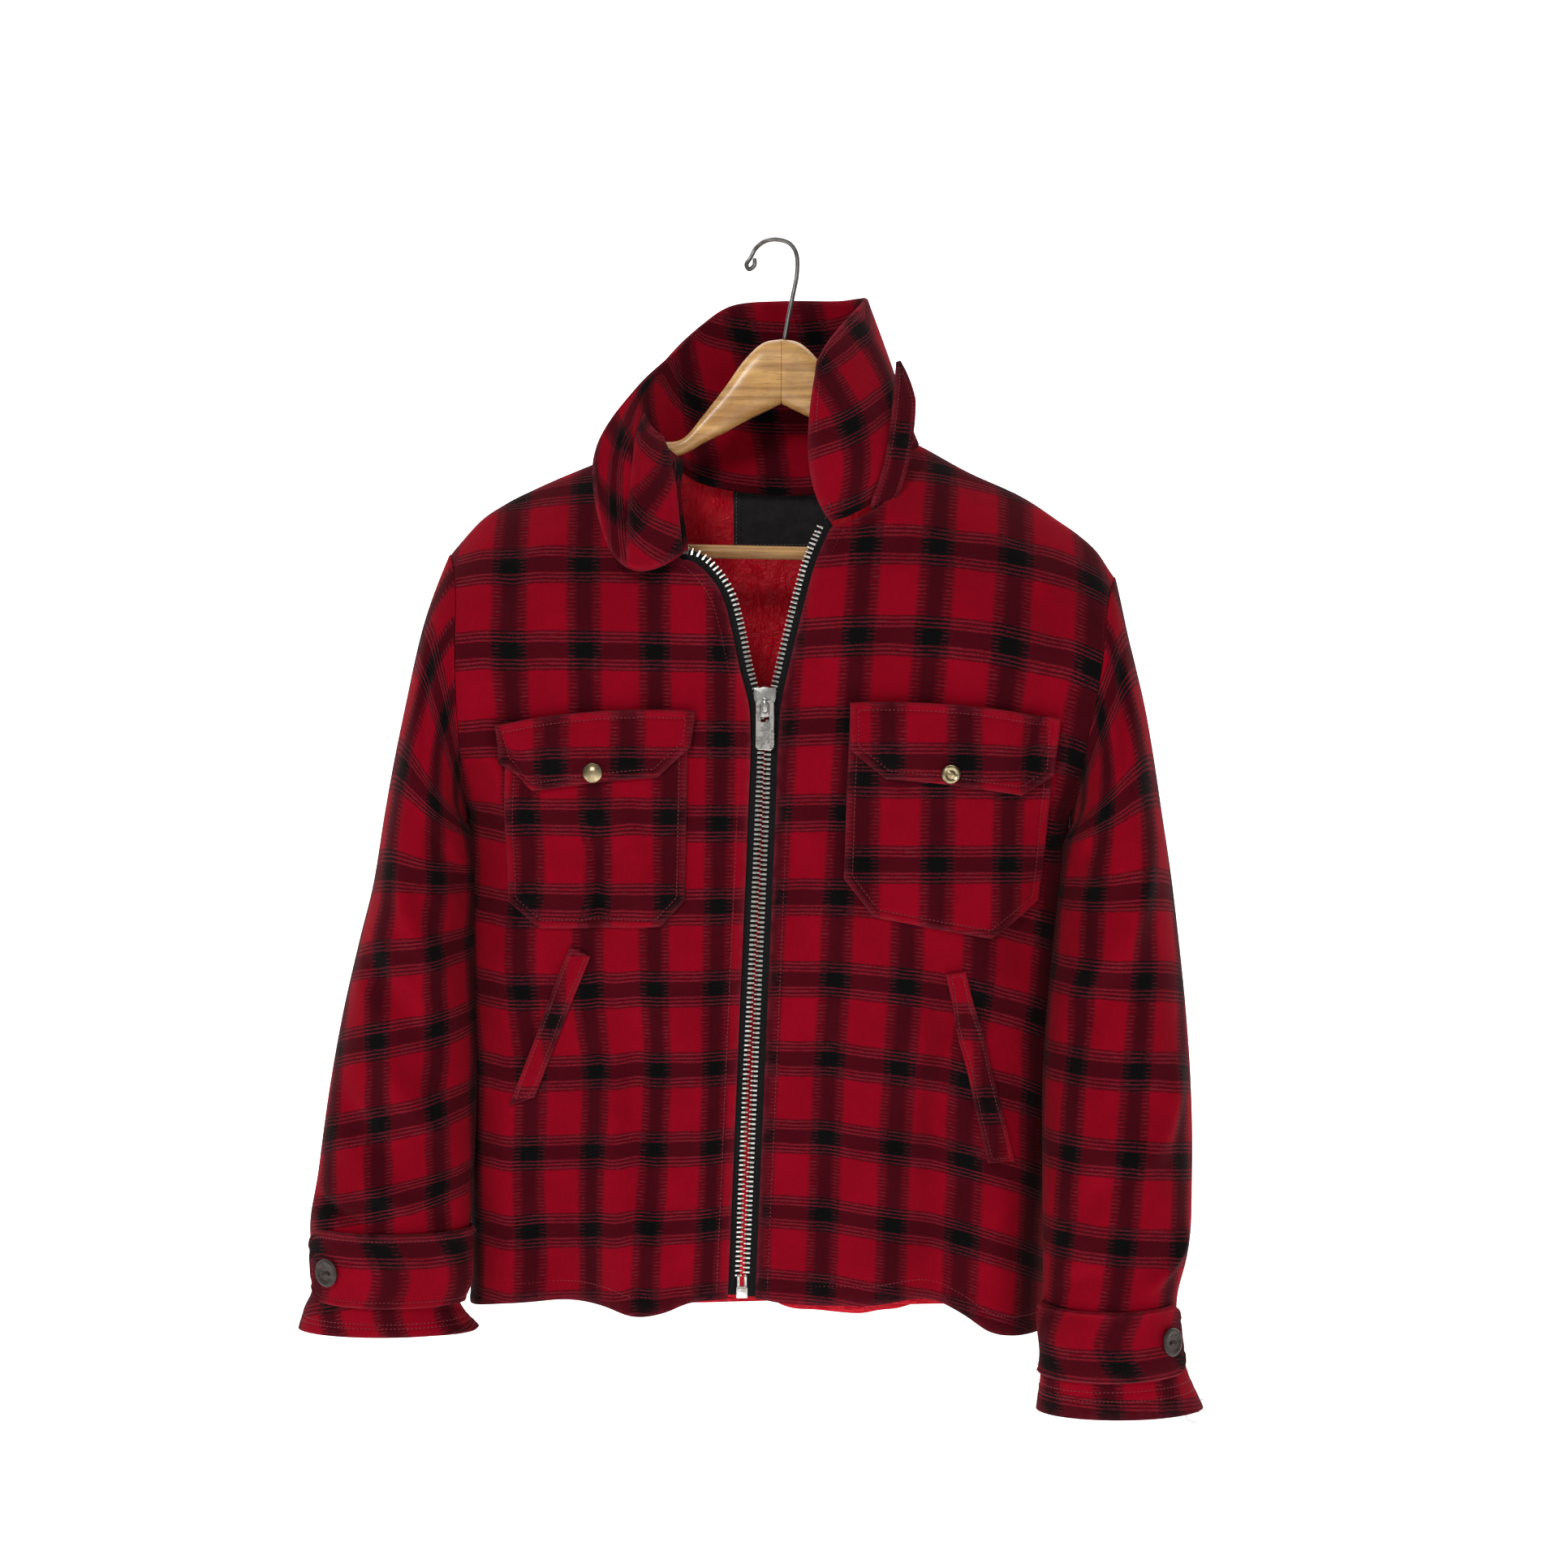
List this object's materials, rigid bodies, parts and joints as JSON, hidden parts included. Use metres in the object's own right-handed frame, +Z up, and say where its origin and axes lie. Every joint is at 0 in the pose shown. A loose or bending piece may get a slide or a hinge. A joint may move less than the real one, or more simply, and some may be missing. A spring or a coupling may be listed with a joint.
{
  "type": "plaid wool jacket on a wooden hanger",
  "caption": "Hip-length plaid wool work jacket with a zip, stand-up collar, flap chest pockets and slanted welts, hanging open at the neck on a wooden hanger with a wire hook.",
  "frame": {"origin": "underside of the hook's crown, where the hanger rests on its rail or peg", "axes": "+Z up, the jacket's front faces -Y, and the wearer's left side is at +X"},
  "size_m": [0.664, 0.1842, 0.8719],
  "materials": {
    "wool": "fulled wool plaid, red ground with black bands",
    "nylon": "creased nylon lining",
    "black_cloth": "woven",
    "nickel": "worn nickel silver",
    "brass": "worn",
    "horn": "dull",
    "wood": "varnished",
    "steel_wire": "aged wire"
  },
  "bodies": {
    "garment": {"back_panel": "wool", "collar": "wool", "cuff_button_left": "horn", "cuff_button_right": "horn", "cuff_strap_left": "wool", "cuff_strap_right": "wool", "flap_left": "wool", "flap_right": "wool", "front_left": "wool", "front_right": "wool", "hanger_arm_left": "wood", "hanger_arm_right": "wood", "hanger_bar": "wood", "hanger_hook": "steel_wire", "label": "black_cloth", "lining_back": "nylon", "neck_facing": "wool", "pocket_left": "wool", "pocket_right": "wool", "sleeve_left": "wool", "sleeve_right": "wool", "snap_left": "brass", "snap_right": "brass", "throat_tab": "wool", "welt_left": "wool", "welt_right": "wool", "zip_box": "nickel", "zip_slider": "nickel", "zip_tape_left": "black_cloth", "zip_tape_right": "black_cloth", "zip_teeth_left": "nickel", "zip_teeth_right": "nickel"},
    "pull": {"zip_pull": "nickel"}
  },
  "joints": [
    {"name": "pull_swing", "type": "hinge", "parent": "garment", "child": "pull", "pos_m": [-0.00593, -0.07419, -0.352], "axis": [-1, 0, 0], "range_deg": [0, 165]}
  ]
}
